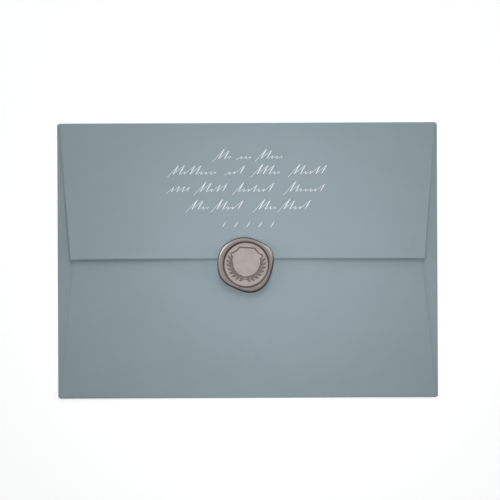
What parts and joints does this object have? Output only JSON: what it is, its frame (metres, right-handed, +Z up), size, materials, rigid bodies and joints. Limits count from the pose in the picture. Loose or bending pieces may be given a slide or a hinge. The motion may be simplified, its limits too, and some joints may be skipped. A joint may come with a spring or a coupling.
{
  "type": "paper envelope",
  "caption": "Closed rectangular paper envelope with a square top flap, glued side seams, a stamped wax seal and fine white pen flourishes.",
  "frame": {"origin": "middle of the address side's outer face, which lies on the table", "axes": "+X along the envelope's width, +Y from the bottom fold to the top fold, +Z up from the table to the seal"},
  "size_m": [0.1842, 0.1334, 0.0052],
  "materials": {
    "paper": "matte",
    "glue": "satin",
    "sealing_wax": "satin",
    "white_ink": "matte"
  },
  "bodies": {
    "root": {"envelope_sheet": "paper", "left_seam_glue": "glue", "right_seam_glue": "glue", "wax_seal": "sealing_wax", "pen_flourishes": "white_ink"}
  },
  "joints": []
}
